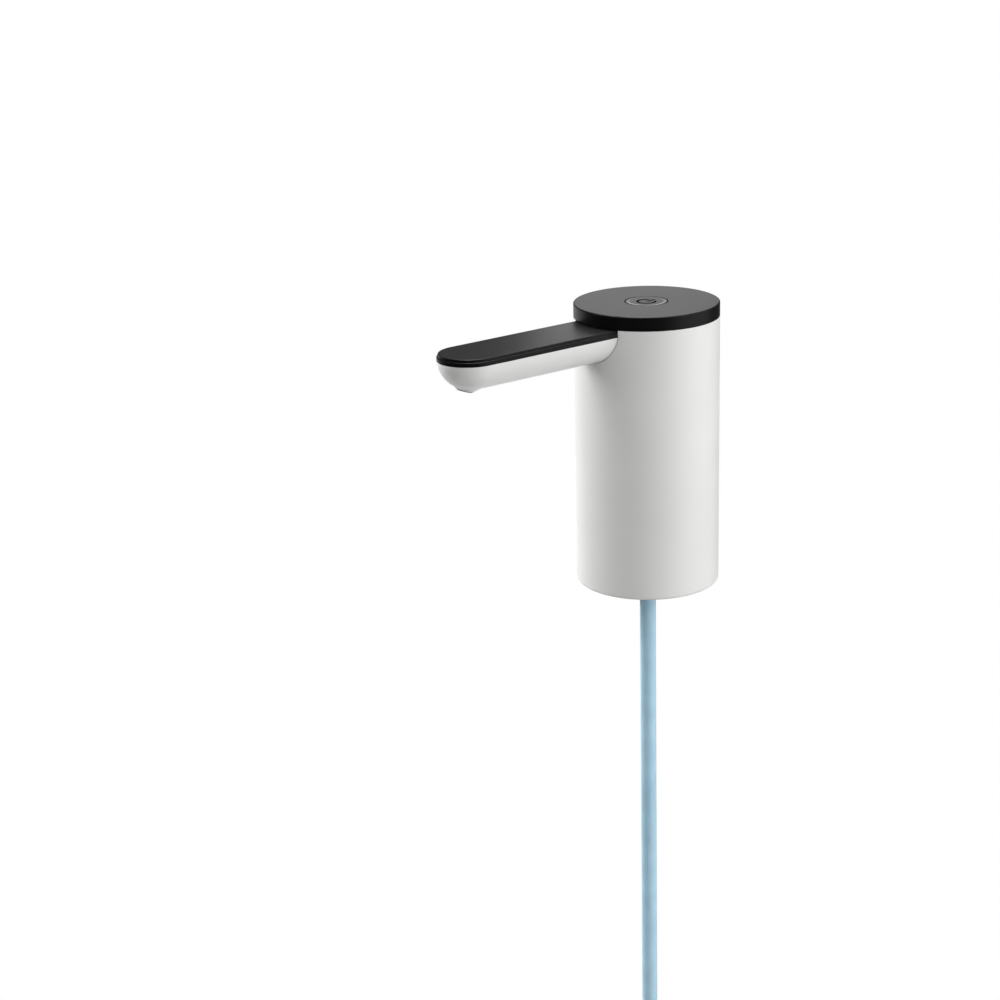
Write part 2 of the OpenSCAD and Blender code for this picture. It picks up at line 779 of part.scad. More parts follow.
module intake_nipple() {
  color(grey) difference() {
    union() {
      translate([0, 0, shelf_z]) cylinder(r = nipple_flange_r, h = shelf_t);
      translate([0, 0, shoulder_z + fit]) cylinder(r = nipple_neck_r, h = shelf_z - shoulder_z);
      translate([0, 0, floor_z]) cylinder(r = spigot_bore - fit, h = floor_t + spigot_in);
      rotate_extrude() for (k = [1:nipple_barbs]) translate([0, shoulder_z - barb_pitch * k])
        polygon([[0, 0], [barb_r - barb_bite, 0], [barb_r, barb_rise],
                 [barb_r - barb_bite, barb_pitch + fit], [0, barb_pitch + fit]]);
    }
    cylinder(r = barb_bore, h = deck_z + spigot_in + over);
  }
}

module intake_seal() {
  color(black) translate([0, 0, deck_z + seal_d / 2 + run_fit]) rotate_extrude()
    translate([spigot_bore + seal_d / 2, 0]) circle(seal_d / 2);
}

module suction_hose() {
  tip_z = hose_route[len(hose_route) - 1][2];
  color(hose_blue, 0.6) difference() {
    tube_along(hose_route, hose_r, hose_bore / cos(180 / hose_sides), hose_sides);
    translate([0, 0, tip_z]) rotate([0, 45, 0]) cube([hose_notch, hose_d + 2, hose_notch], center = true);
  }
}

// Inner frame

module chassis() {
  color(white) difference() {
    union() {
      translate([0, 0, floor_z]) cylinder(r = bore_r - seam_gap, h = floor_t);
      at_chassis_screws() translate([0, 0, deck_z - eps]) cylinder(r = chassis_boss_r, h = chassis_boss_h);
      translate([cell_x, cell_y, 0]) {
        rotate([0, 0, cradle_from]) rotate_extrude(angle = cradle_leg_arc) translate([cradle_r, deck_z - eps])
          square([cradle_wall, shelf_top - deck_z]);
        rotate([0, 0, cradle_from]) rotate_extrude(angle = cradle_arc)
          translate([cradle_r, shelf_top - shelf_plate_t / 2]) square([cradle_wall, cradle_h]);
        translate([0, 0, shelf_top - shelf_plate_t])
          cylinder(r = cradle_r + cradle_wall / 2, h = shelf_plate_t);
      }
      for (s = [-1, 1]) translate([s * (board_w / 2 - rail_lap + rail_w / 2), 0, 0])
        translate([-rail_w / 2, board_in - rail_wall, deck_z - eps])
          cube([rail_w, board_t + 2 * rail_wall, rail_top - deck_z]);
    }
    translate([0, 0, floor_z - 1]) cylinder(r = spigot_bore + fit, h = floor_t + 2);
    at_pump_screws() translate([0, 0, floor_z - 1]) cylinder(r = screw_r + fit, h = floor_t + 2);
    at_chassis_screws() translate([0, 0, floor_z - 1]) cylinder(r = screw_r + run_fit, h = floor_t + 3);
    translate([-board_w / 2 - fit, board_in - fit, board_z])
      cube([board_w + 2 * fit, board_t + 2 * fit, rail_top]);
  }
}

// Gear pump

// Outline of the pump's block: both chambers, the web between them and four screw bosses
module pump_outline() {
  at_gears() circle(block_r);
  translate([-centre_d / 2, pump_y - block_r]) square([centre_d, 2 * block_r]);
  at_pump_screws() circle(screw_boss_r);
}

// Both gear chambers, with the inlet and outlet pockets where the teeth part and meet
module chamber_outline() {
  at_gears() circle(chamber_r);
  for (s = [-1, 1]) translate([0, pump_y + s * port_off]) circle(port_r);
}

module pump_cover() {
  color(grey) difference() {
    translate([0, 0, deck_z]) linear_extrude(cover_t) pump_outline();
    translate([0, 0, deck_z - 1]) cylinder(r = port_r, h = cover_t + 2);
    translate([0, 0, deck_z - 1]) cylinder(r = spigot_bore, h = spigot_in + fit + 1);
    translate([0, 0, deck_z - 1]) cylinder(r = spigot_bore + seal_d + run_fit, h = seal_d + fit + 1);
    at_pump_screws() translate([0, 0, deck_z - 1]) cylinder(r = screw_r + fit, h = cover_t + 2);
    translate([-centre_d / 2, pump_y, gasket_z - pin_grip]) cylinder(r = pin_r + run_fit, h = pin_grip + 1);
  }
}

module pump_gasket() {
  color(black) translate([0, 0, gasket_z]) linear_extrude(gasket_t) difference() {
    pump_outline();
    chamber_outline();
    at_pump_screws() circle(screw_r + fit);
  }
}

module pump_body() {
  outlet_y = pump_y - port_off;
  color(grey) difference() {
    union() {
      translate([0, 0, chamber_z]) linear_extrude(chamber_h + head_t) pump_outline();
      at_motor() translate([0, 0, motor_z - head_t])
        cylinder(r = motor_r + fit + skirt_wall, h = head_t + skirt_h);
      translate([0, pump_y, outlet_z]) rotate([90, 0, 0]) cylinder(r = outlet_r, h = pump_y - tube_y);
      translate([0, tube_y, outlet_z - outlet_r])
        cylinder(r = outlet_r, h = outlet_top - outlet_z + outlet_r);
      translate([0, tube_y, outlet_z]) cylinder(r = barb_r, h = outlet_top - outlet_z + barb_l);
    }
    translate([0, 0, chamber_z - 1]) linear_extrude(chamber_h + 1) chamber_outline();
    translate([0, outlet_y, outlet_z]) rotate([90, 0, 0]) cylinder(r = barb_bore, h = outlet_y - tube_y);
    translate([0, tube_y, outlet_z]) sphere(barb_bore + elbow_round);
    translate([0, tube_y, outlet_z]) cylinder(r = barb_bore, h = outlet_top - outlet_z + barb_l + 1);
    at_pump_screws() translate([0, 0, chamber_z - 1]) cylinder(r = screw_r + run_fit, h = chamber_h + 1);
    translate([-centre_d / 2, pump_y, chamber_z]) cylinder(r = pin_r + run_fit, h = chamber_h + pin_grip);
    at_motor() {
      translate([0, 0, motor_z]) cylinder(r = motor_r + fit, h = skirt_h + 1);
      translate([0, 0, motor_z - nose_boss_h - fit]) cylinder(r = nose_boss_r + fit, h = nose_boss_h + 1);
      translate([0, 0, motor_z - nose_boss_h - fit - seal_h - fit])
        cylinder(r = seal_r + run_fit, h = seal_h + 1);
      translate([0, 0, chamber_z]) cylinder(r = shaft_r + shaft_gap, h = motor_z - chamber_z);
    }
  }
}

// Involute tooth: the half-angle that a flank has at radius r, and the outline of a whole gear
function involute(a) = tan(a) * 180 / PI - a;
function flank_angle(r) = 90 / gear_teeth - flank_play / pitch_r * 90 / PI + involute(pressure)
  - involute(acos(min(1, base_r / r)));
function flank_r(i) = flank_from + (tip_r - flank_from) * i / flank_steps;
function polar(r, a) = [r * cos(a), r * sin(a)];
function tooth(a) = concat(
  [polar(root_r, a - flank_angle(flank_from))],
  [for (i = [0:flank_steps]) polar(flank_r(i), a - flank_angle(flank_r(i)))],
  [for (i = [flank_steps:-1:0]) polar(flank_r(i), a + flank_angle(flank_r(i)))],
  [polar(root_r, a + flank_angle(flank_from))]);

module pump_gear(turn, bore) {
  translate([0, 0, gear_z]) linear_extrude(gear_w) difference() {
    polygon([for (k = [0:gear_teeth - 1]) each tooth(turn + k * 360 / gear_teeth)]);
    circle(bore);
  }
}

module drive_gear() {
  color(brass) at_motor() pump_gear(180, shaft_r + press_fit);
}

module idler_gear() {
  color(brass) translate([-centre_d / 2, pump_y, 0]) pump_gear(180 / gear_teeth, pin_r + run_fit);
}

module idler_pin() {
  color(steel) translate([-centre_d / 2, pump_y, gasket_z - pin_grip + fit])
    cylinder(r = pin_r, h = pin_grip + gasket_t + chamber_h + pin_grip - 2 * fit);
}

module shaft_seal() {
  color(black) at_motor()
    ring(seal_r, shaft_r + run_fit, motor_z - nose_boss_h - seal_h - fit, motor_z - nose_boss_h - fit);
}

module pump_screws() {
  color(steel) at_pump_screws() translate([0, 0, floor_z])
    screw_up(floor_t + cover_t + gasket_t + chamber_h - 1);
}

// Motor

module motor_can() {
  color(steel) at_motor() difference() {
    union() {
      ring(motor_r, can_bore_r, motor_z, can_top);
      translate([0, 0, motor_z]) cylinder(r = motor_r, h = can_face);
      translate([0, 0, motor_z - nose_boss_h]) cylinder(r = nose_boss_r, h = nose_boss_h + eps);
    }
    translate([0, 0, motor_z - nose_boss_h - 1])
      cylinder(r = bush_r + run_fit, h = nose_boss_h + can_face + 2);
  }
}

module motor_magnets() {
  color(magnet_grey) at_motor() for (s = [0, 180]) rotate([0, 0, s + 90 - magnet_arc / 2])
    rotate_extrude(angle = magnet_arc) translate([magnet_r - magnet_t, motor_z + can_face + 1])
      square([magnet_t, magnet_l]);
}

module motor_shaft() {
  color(steel) at_motor() translate([0, 0, gear_z]) cylinder(r = shaft_r, h = motor_top - shaft_end - gear_z);
}

module motor_armature() {
  color(grey) at_motor() translate([0, 0, stack_z]) linear_extrude(stack_l) difference() {
    union() {
      circle(hub_r);
      for (a = [0, 120, 240]) rotate([0, 0, a]) {
        translate([0, -pole_w / 2]) square([stack_r - shoe_t / 2, pole_w]);
        intersection() {
          difference() {
            circle(stack_r);
            circle(stack_r - shoe_t);
          }
          polygon([[0, 0], polar(2 * stack_r, -pole_half_angle), [3 * stack_r, 0],
                   polar(2 * stack_r, pole_half_angle)]);
        }
      }
    }
    circle(shaft_r + press_fit);
  }
}

module motor_windings() {
  color(copper) at_motor() for (a = [0, 120, 240]) rotate([0, 0, a]) difference() {
    translate([coil_in, -coil_half_w, stack_z - coil_end])
      cube([coil_out - coil_in, 2 * coil_half_w, stack_l + 2 * coil_end]);
    translate([0, -pole_w / 2 - run_fit, stack_z - run_fit])
      cube([stack_r, pole_w + 2 * run_fit, stack_l + 2 * run_fit]);
  }
}

module motor_commutator() {
  color(brass) at_motor() difference() {
    ring(comm_r, shaft_r + press_fit, comm_z, comm_z + comm_l);
    for (a = [60, 180, 300]) rotate([0, 0, a])
      translate([shaft_r + comm_core, -comm_slot / 2, comm_z - over])
        cube([comm_r, comm_slot, comm_l + 2 * over]);
  }
}

module motor_bushes() {
  color(brass) at_motor() {
    ring(bush_r, shaft_r + run_fit, motor_z - nose_boss_h + fit, motor_z + can_face + 1);
    ring(bush_r, shaft_r + run_fit, can_top + cap_web + fit, motor_top - cap_gap);
  }
}

module motor_brushes() {
  brush_x = comm_r + fit;
  color(copper) at_motor() for (s = [0, 180]) rotate([0, 0, s]) {
    translate([brush_x, -brush_w / 2, can_top - blade_h]) cube([brush_l, brush_w, brush_h]);
    translate([brush_x + brush_l - blade_t, -brush_w / 2, can_top - blade_h])
      cube([blade_t, brush_w, blade_h]);
  }
}

module motor_endcap() {
  color(black) at_motor() difference() {
    union() {
      translate([0, 0, can_top]) cylinder(r = motor_r, h = cap_h);
      ring(can_bore_r - run_fit, can_bore_r - cap_lip, can_top - cap_lip, can_top + eps);
    }
    translate([0, 0, can_top + cap_web]) cylinder(r = bush_r + run_fit, h = cap_h);
    translate([0, 0, can_top - over]) cylinder(r = shaft_r + shaft_gap, h = cap_h);
  }
}

module motor_terminals() {
  color(brass) at_motor() for (s = [-1, 1]) translate([-tab_w / 2, s * tab_off - tab_t / 2, motor_top])
    cube([tab_w, tab_t, tab_l]);
}

// Cell, boards and leads

module battery_cell() {
  color(cell_blue) translate([cell_x, cell_y, cell_z]) {
    cylinder(r = cell_r, h = cell_l - cap_step);
    cylinder(r = cap_r, h = cell_l);
  }
}

module battery_tabs() {
  color(steel) translate([cell_x, cell_y, 0]) {
    translate([-strip_w / 2, -strip_w / 2, cell_z + cell_l]) cube([strip_w, strip_w, strip_t]);
    translate([-strip_w / 2, -strip_w / 2, shelf_top])
      cube([strip_w, strip_w / 2 + cell_r + strip_lap, strip_t]);
  }
}

module circuit_board() {
  color(board_green) translate([-board_w / 2, board_in, board_z]) cube([board_w, board_t, board_h]);
}

// Part on the board's inner face: its middle, width, height and how far it stands off
module on_board(x, z, w, h, out) {
  translate([x - w / 2, board_in - out, board_z + z - h / 2]) cube([w, out, h]);
}

module board_components() {
  color(black) {
    on_board(-5, 22, 5, 4, 1.5);
    on_board(5, 20, 6.5, 6.5, 1.2);
    on_board(9, 9, 5, 5, 3);
    on_board(-2, 10, 3.2, 1.6, 1);
    on_board(-2, 14, 3.2, 1.6, 1);
    on_board(1.5, 28, 2, 1.25, 0.8);
    for (x = [-9, 0, 9]) on_board(x, plug_z - board_z, 6, 2 * plug_h2, plug_l);
  }
}

module usb_socket() {
  color(steel) translate([0, board_out, usb_z]) rotate([-90, 0, 0]) {
    linear_extrude(usb_l - fit) difference() {
      stadium(usb_w, usb_h);
      stadium(usb_w - 2 * usb_skin, usb_h - 2 * usb_skin);
    }
    linear_extrude(usb_back) stadium(usb_w, usb_h);
    translate([-tongue_w / 2, -tongue_t / 2, 0]) cube([tongue_w, tongue_t, usb_l - tongue_inset]);
  }
}

module motor_leads() {
  color(lead_red) for (p = [motor_lead_a, motor_lead_b]) rod_along(p, lead_r, lead_sides);
}

module battery_leads() {
  color(lead_red) for (p = [cell_lead_a, cell_lead_b]) rod_along(p, lead_r, lead_sides);
}

module switch_leads() {
  color(white) for (p = [switch_lead_a, switch_lead_b]) rod_along(p, lead_r, lead_sides);
}

body_shell();
top_lid();
lid_gasket();
button_cap();
switch_plunger();
tact_switch();
switch_board();
switch_screws();
arm_shell();
arm_cover();
nozzle();
arm_screws();
delivery_tube();
neck_collar();
neck_grip();
chassis_screws();
intake_nipple();
intake_seal();
suction_hose();
chassis();
pump_cover();
pump_gasket();
pump_body();
drive_gear();
idler_gear();
idler_pin();
shaft_seal();
pump_screws();
motor_can();
motor_magnets();
motor_shaft();
motor_armature();
motor_windings();
motor_commutator();
motor_bushes();
motor_brushes();
motor_endcap();
motor_terminals();
battery_cell();
battery_tabs();
circuit_board();
board_components();
usb_socket();
motor_leads();
battery_leads();
switch_leads();
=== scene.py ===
"""Electric water jug pump: softened shells, suction hose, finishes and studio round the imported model.

Metres, +Z up, the spout arm points along -Y, and the origin is the mouth of the neck socket.
"""
import json
import math

import bmesh
import bpy
from bpy.props import FloatProperty, FloatVectorProperty, IntProperty, PointerProperty
from mathutils import Matrix, Vector

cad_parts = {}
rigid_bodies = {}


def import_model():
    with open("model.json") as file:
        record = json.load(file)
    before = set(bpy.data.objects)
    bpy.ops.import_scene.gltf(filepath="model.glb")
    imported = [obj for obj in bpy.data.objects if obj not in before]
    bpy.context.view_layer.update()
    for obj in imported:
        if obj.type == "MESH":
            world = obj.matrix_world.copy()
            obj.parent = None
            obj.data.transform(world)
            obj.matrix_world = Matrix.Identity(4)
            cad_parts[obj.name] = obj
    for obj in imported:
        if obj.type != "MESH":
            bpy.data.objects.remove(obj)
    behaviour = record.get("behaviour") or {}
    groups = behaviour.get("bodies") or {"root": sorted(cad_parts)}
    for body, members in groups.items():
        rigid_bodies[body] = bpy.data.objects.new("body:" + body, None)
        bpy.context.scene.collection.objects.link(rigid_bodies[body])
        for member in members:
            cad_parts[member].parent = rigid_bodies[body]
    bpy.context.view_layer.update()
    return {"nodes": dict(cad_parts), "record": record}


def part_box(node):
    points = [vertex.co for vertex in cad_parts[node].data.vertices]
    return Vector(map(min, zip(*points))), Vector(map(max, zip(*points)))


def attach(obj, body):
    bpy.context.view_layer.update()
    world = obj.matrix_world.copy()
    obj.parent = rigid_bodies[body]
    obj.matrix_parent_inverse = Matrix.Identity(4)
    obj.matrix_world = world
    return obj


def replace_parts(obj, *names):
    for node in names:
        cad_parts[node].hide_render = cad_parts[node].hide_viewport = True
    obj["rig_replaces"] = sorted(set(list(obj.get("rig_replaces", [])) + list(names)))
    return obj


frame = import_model()

bl_info = {
    "name": "Electric water jug pump",
    "version": (1, 0, 0),
    "blender": (4, 5, 0),
    "location": "3D View > Sidebar > Jug pump",
    "description": "Shells, suction hose, finishes and studio of an electric water jug pump",
    "category": "Object",
}

MM = 0.001
HOSE_LOW, HOSE_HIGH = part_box("suction_hose")
BUTTON_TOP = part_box("button_cap")[1].z
SOCKET_LOW, SOCKET_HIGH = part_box("usb_socket")
SLOTS = {name: thing.data.materials[0].name for name, thing in frame["nodes"].items()}

# The hose hangs straight down the body's axis, from the shoulder of its nipple to its bare tip
HOSE_ROUTE = [(0, 0, z * MM) for z in (22, 10, *range(-10, -431, -20), -438)]

# Rounding of edges: corners nearer than this are one, smaller angles are flat, larger ones are edges
MERGE_DISTANCE = 0.001 * MM
FLAT_ANGLE = math.radians(0.4)
EDGE_ANGLE = math.radians(28)
EDGE_STEPS = 3

# Most of a noise texture lies between these two values
NOISE_LOW, NOISE_HIGH = 0.3, 0.7


# Settings

def length(label, text, default):
    """A setting in metres."""
    return FloatProperty(name=label, description=text, default=default, unit="LENGTH", precision=5)


def angle(label, text, degrees):
    """A setting that is an angle."""
    return FloatProperty(name=label, description=text, default=math.radians(degrees), subtype="ANGLE")


def amount(label, text, default):
    """A setting without a unit, or in the unit that its text names."""
    return FloatProperty(name=label, description=text, default=default)


def paint(label, text, colour):
    """A setting that is a colour."""
    return FloatVectorProperty(name=label, description=text, default=colour, subtype="COLOR", min=0, max=1)


class PumpSizes(bpy.types.PropertyGroup):
    """Sizes of the pieces that are modelled here."""

    hose_diameter: length("Hose diameter", "Outside diameter of the suction hose", HOSE_HIGH.x - HOSE_LOW.x)
    hose_wall: length("Hose wall", "Wall of the suction hose", 1.25 * MM)
    hose_length: length("Hose length", "Length of the hose along its route", HOSE_HIGH.z - HOSE_LOW.z)
    hose_notch: length("Hose notch", "Depth of the notch that keeps the tip open on a floor", 3.54 * MM)
    hose_sides: IntProperty(name="Hose sides", description="Sides of the hose's mesh", default=64)
    shell_edge: length("Shell edge", "Rounding of the outer shells' edges", 0.3 * MM)
    fitting_edge: length("Fitting edge", "Rounding of the small fittings' edges", 0.12 * MM)
    dish_depth: length("Dish depth", "Depth of the flat hollow in the button's top", 0.16 * MM)
    dish_radius: length("Dish radius", "Outer radius of the hollow in the button's top", 9.6 * MM)
    dish_slope: length("Dish slope", "Width of the polished slope round the hollow", 1.5 * MM)
    sign_radius: length("Sign radius", "Radius of the power sign's ring on the button", 4.3 * MM)
    sign_stroke: length("Sign stroke", "Width of the power sign's stroke", 1.1 * MM)
    sign_height: length("Sign height", "Height of the power sign above the button", 0.15 * MM)
    sign_sink: length("Sign sink", "How far the power sign reaches down into the button", 0.05 * MM)
    sign_gap: angle("Sign gap", "Angle of the opening in the power sign's ring", 76)
    contact_count: IntProperty(
        name="Contacts", description="Contact strips on each side of the tongue", default=6)
    contact_width: length("Contact width", "Width of one contact strip in the charging socket", 0.3 * MM)
    contact_pitch: length("Contact pitch", "Distance from one contact strip to the next", 0.75 * MM)


class PumpColours(bpy.types.PropertyGroup):
    """Colours of the finishes, in linear light."""

    white_plastic: paint("White plastic", "Satin white moulding of body and arm", (0.80, 0.80, 0.79))
    black_plastic: paint("Black plastic", "Matte moulding of lid, button and cover", (0.003, 0.003, 0.0031))
    dark_plastic: paint("Dark plastic", "Dark inner mouldings", (0.035, 0.035, 0.038))
    grey_plastic: paint("Grey plastic", "Grey inner mouldings and fittings", (0.26, 0.265, 0.27))
    grey_silicone: paint("Grey silicone", "Grip sleeve and seals", (0.36, 0.38, 0.40))
    clear_silicone: paint("Milky silicone", "Delivery tube inside the arm", (0.72, 0.75, 0.77))
    hose_silicone: paint("Hose silicone", "Pale blue suction hose", (0.51, 0.77, 0.95))
    black_rubber: paint("Black rubber", "Gaskets and rings", (0.018, 0.018, 0.018))
    steel: paint("Steel", "Plated steel", (0.62, 0.63, 0.65))
    brass: paint("Brass", "Machined brass", (0.66, 0.47, 0.19))
    copper: paint("Copper", "Enamelled winding wire", (0.52, 0.22, 0.09))
    magnet: paint("Magnet", "Sintered magnets", (0.06, 0.06, 0.065))
    board: paint("Board", "Solder mask of the boards", (0.015, 0.12, 0.055))
    cell_wrap: paint("Cell wrap", "Shrink wrap of the cell", (0.05, 0.20, 0.36))
    red_lead: paint("Red lead", "Red insulation", (0.42, 0.018, 0.015))
    white_lead: paint("White lead", "White insulation", (0.74, 0.74, 0.71))
    floor: paint("Floor", "Pale studio floor, as it is seen", (0.52, 0.52, 0.52))
    floor_bounce: paint("Floor bounce", "What the floor throws back on the object", (0.35, 0.35, 0.35))


class PumpStudio(bpy.types.PropertyGroup):
    """Camera, lamps and surroundings."""

    camera_place: FloatVectorProperty(
        name="Camera", description="Place of the camera", default=(0.7173, -0.6376, 0.3532),
        subtype="TRANSLATION", unit="LENGTH", precision=4)
    camera_heading: angle("Heading", "Direction of view in plan, from +X", 142.699)
    camera_tilt: angle("Tilt", "Angle of view below the horizontal", 18.021)
    camera_roll: angle("Roll", "Clockwise turn of the picture", 1.615)
    camera_lens: amount("Lens", "Focal length in millimetres", 73.67)
    camera_sensor: amount("Sensor", "Width of the sensor in millimetres", 36)
    floor_drop: length("Floor drop", "Gap between the hose's tip and the floor", 4 * MM)
    floor_radius: length("Floor radius", "Radius of the round floor", 8.0)
    fill: amount("Fill", "Mean strength of the surrounding light", 0.315)
    fill_slope: amount("Fill slope", "How much stronger the surrounding light is on its strong side", 0.28)
    key_power: amount("Key", "Power of the large soft lamp on the right, in watts", 17.2)
    gloss_power: amount("Gloss", "Power of the lamp on the right that only mirrors, in watts", 6.0)
    rim_power: amount("Rim", "Power of the lamp on the left and behind, in watts", 33.8)
    top_power: amount("Top", "Power of the overhead lamp, in watts", 7.0)
    edge_power: amount("Edge", "Power of the lamp behind that draws light along edges, in watts", 5.0)
    back_power: amount("Back", "Power of the low panel behind that level faces mirror, in watts", 0.074)


# Node trees

def new_finish(name):
    """A new material with its tree and its surface shader."""
    material = bpy.data.materials.new(name)
    material.use_nodes = True
    tree = material.node_tree
    return material, tree, tree.nodes["Principled BSDF"]


def own_place(tree):
    """The place of a point in the part's own frame."""
    return tree.nodes.new("ShaderNodeTexCoord").outputs["Object"]


def maths(tree, kind, operation, *terms):
    """The results of a maths node, kind Math or VectorMath, on constants and other nodes' results."""
    node = tree.nodes.new("ShaderNode" + kind)
    node.operation = operation
    for place, term in zip(node.inputs, terms):
        if isinstance(term, bpy.types.NodeSocket):
            tree.links.new(term, place)
        else:
            place.default_value = term
    return node.outputs


def ramp(tree, source, start, stop, low=0, high=1, kind="LINEAR"):
    """Values that go from low to high while the source goes from start to stop."""
    node = tree.nodes.new("ShaderNodeMapRange")
    node.interpolation_type = kind
    node.inputs["From Min"].default_value = start
    node.inputs["From Max"].default_value = stop
    node.inputs["To Min"].default_value = low
    node.inputs["To Max"].default_value = high
    tree.links.new(source, node.inputs["Value"])
    return node.outputs["Result"]


def colour_mix(tree):
    """A mix of two colours: its share of the second, the two colours, and the result."""
    node = tree.nodes.new("ShaderNodeMix")
    node.data_type = "RGBA"
    first, second = (s for s in node.inputs if s.type == "RGBA")
    return node.inputs["Factor"], first, second, next(s for s in node.outputs if s.type == "RGBA")


def shader_mix(tree, share, first, second):
    """The first shader, which goes over into the second by a share."""
    node = tree.nodes.new("ShaderNodeMixShader")
    for place, source in zip(node.inputs, (share, first, second)):
        tree.links.new(source, place)
    return node.outputs["Shader"]


def grain(tree, size, stretch=(1, 1, 1), detail=2.0):
    """Noise whose lumps are about `size` metres across, in the part's own frame."""
    mapping = tree.nodes.new("ShaderNodeMapping")
    mapping.inputs["Scale"].default_value = stretch
    noise = tree.nodes.new("ShaderNodeTexNoise")
    noise.inputs["Scale"].default_value = 1 / size
    noise.inputs["Detail"].default_value = detail
    tree.links.new(own_place(tree), mapping.inputs["Vector"])
    tree.links.new(mapping.outputs["Vector"], noise.inputs["Vector"])
    return noise.outputs["Fac"]


def spread(tree, source, low, high):
    """Noise turned into values from low to high."""
    return ramp(tree, source, NOISE_LOW, NOISE_HIGH, low, high)


def mottle(tree, source, colour, share):
    """A colour that wanders by a share of itself."""
    factor, dark, light, result = colour_mix(tree)
    dark.default_value = (*(c * (1 - share) for c in colour), 1)
    light.default_value = (*(min(1.0, c * (1 + share)) for c in colour), 1)
    tree.links.new(spread(tree, source, 0, 1), factor)
    return result


def relief(tree, shader, source, depth):
    """Fine relief of that depth on the surface."""
    bump = tree.nodes.new("ShaderNodeBump")
    bump.inputs["Strength"].default_value = 1.0
    bump.inputs["Distance"].default_value = depth
    tree.links.new(source, bump.inputs["Height"])
    tree.links.new(bump.outputs["Normal"], shader.inputs["Normal"])


# Finishes

def moulding(name, colour, roughness, texture, depth, share, mirroring=0.5):
    """Moulded plastic: fine tool grain, and gloss and colour that wander a little over the surface."""
    wander = 0.04
    patch = 30 * MM
    material, tree, shader = new_finish(name)
    fine = grain(tree, texture)
    broad = grain(tree, patch, detail=1.0)
    tree.links.new(mottle(tree, broad, colour, share), shader.inputs["Base Color"])
    tree.links.new(spread(tree, fine, roughness - wander, roughness + wander), shader.inputs["Roughness"])
    shader.inputs["Specular IOR Level"].default_value = mirroring
    relief(tree, shader, fine, depth)
    return material


def satin_white(name, colour):
    """Satin white of the body and the arm."""
    return moulding(name, colour, roughness=0.36, texture=0.5 * MM, depth=0.003 * MM, share=0.012)


def matte_black(name, colour):
    """Fine matte black of the lid, the button and the arm's cover."""
    return moulding(name, colour, roughness=0.40, texture=0.35 * MM, depth=0.006 * MM, share=0.10,
                    mirroring=0.36)


def dull_black(name, colour):
    """Dull black of the button's sign, which mirrors nothing."""
    return moulding(name, colour, roughness=0.5, texture=0.35 * MM, depth=0.001 * MM, share=0.10,
                    mirroring=0.0)


def button_black(name, colour, inner, outer, polish=0.12):
    """The lid's matte black, polished between two radii round the vertical axis."""
    material = matte_black(name, colour)
    tree = material.node_tree
    rough = tree.nodes["Principled BSDF"].inputs["Roughness"]
    in_plan = maths(tree, "VectorMath", "MULTIPLY", own_place(tree), (1, 1, 0))["Vector"]
    radius = maths(tree, "VectorMath", "LENGTH", in_plan)["Value"]
    on_slope = maths(tree, "Math", "COMPARE", radius, (inner + outer) / 2, (outer - inner) / 2)["Value"]
    mix = tree.nodes.new("ShaderNodeMix")
    mix.inputs["B"].default_value = polish
    tree.links.new(on_slope, mix.inputs["Factor"])
    tree.links.new(rough.links[0].from_socket, mix.inputs["A"])
    tree.links.new(mix.outputs["Result"], rough)
    return material


def inner_moulding(name, colour):
    """Plainer moulding of the inner pieces."""
    return moulding(name, colour, roughness=0.5, texture=0.6 * MM, depth=0.006 * MM, share=0.06)


def soft_silicone(name, colour):
    """Silicone and rubber with a dry, faintly dusty surface."""
    material = moulding(name, colour, roughness=0.56, texture=0.4 * MM, depth=0.008 * MM, share=0.06)
    material.node_tree.nodes["Principled BSDF"].inputs["Sheen Weight"].default_value = 0.12
    return material


def milky_silicone(name, colour):
    """Translucent silicone with faint lines from its die."""
    material, tree, shader = new_finish(name)
    lines = grain(tree, 0.9 * MM, stretch=(1, 1, 0.02))
    haze = grain(tree, 12 * MM, detail=1.0)
    tree.links.new(mottle(tree, haze, colour, share=0.05), shader.inputs["Base Color"])
    tree.links.new(spread(tree, lines, low=0.27, high=0.33), shader.inputs["Roughness"])
    shader.inputs["IOR"].default_value = 1.41
    shader.inputs["Transmission Weight"].default_value = 0.12
    shader.inputs["Subsurface Weight"].default_value = 0.25
    shader.inputs["Subsurface Radius"].default_value = (2 * MM, 2.6 * MM, 3 * MM)
    shader.inputs["Subsurface Scale"].default_value = 1.0
    relief(tree, shader, lines, depth=0.003 * MM)
    return material


def plated_metal(name, colour):
    """Metal with a fine brushed grain."""
    material, tree, shader = new_finish(name)
    brush = grain(tree, 0.12 * MM, stretch=(1, 1, 0.06))
    cloud = grain(tree, 6 * MM)
    tree.links.new(mottle(tree, cloud, colour, share=0.06), shader.inputs["Base Color"])
    tree.links.new(spread(tree, brush, low=0.24, high=0.38), shader.inputs["Roughness"])
    shader.inputs["Metallic"].default_value = 1.0
    relief(tree, shader, brush, depth=0.002 * MM)
    return material


def wound_wire(name, colour):
    """Enamelled wire, laid turn beside turn, with painted shade in the grooves between turns and a painted
    highlight on their crowns.
    """
    material, tree, shader = new_finish(name)
    turns = tree.nodes.new("ShaderNodeTexWave")
    turns.bands_direction = "Z"
    turns.inputs["Scale"].default_value = 1 / (2 * MM)
    turns.inputs["Distortion"].default_value = 0.6
    tree.links.new(own_place(tree), turns.inputs["Vector"])
    # Painted shade and highlight: the colour follows the turns' relief, darker in the grooves between turns
    # and lighter on their crowns
    tree.links.new(mottle(tree, turns.outputs["Fac"], colour, share=0.25), shader.inputs["Base Color"])
    tree.links.new(spread(tree, grain(tree, 0.5 * MM), low=0.22, high=0.34), shader.inputs["Roughness"])
    shader.inputs["Metallic"].default_value = 1.0
    shader.inputs["Coat Weight"].default_value = 0.4
    relief(tree, shader, turns.outputs["Fac"], depth=0.05 * MM)
    return material


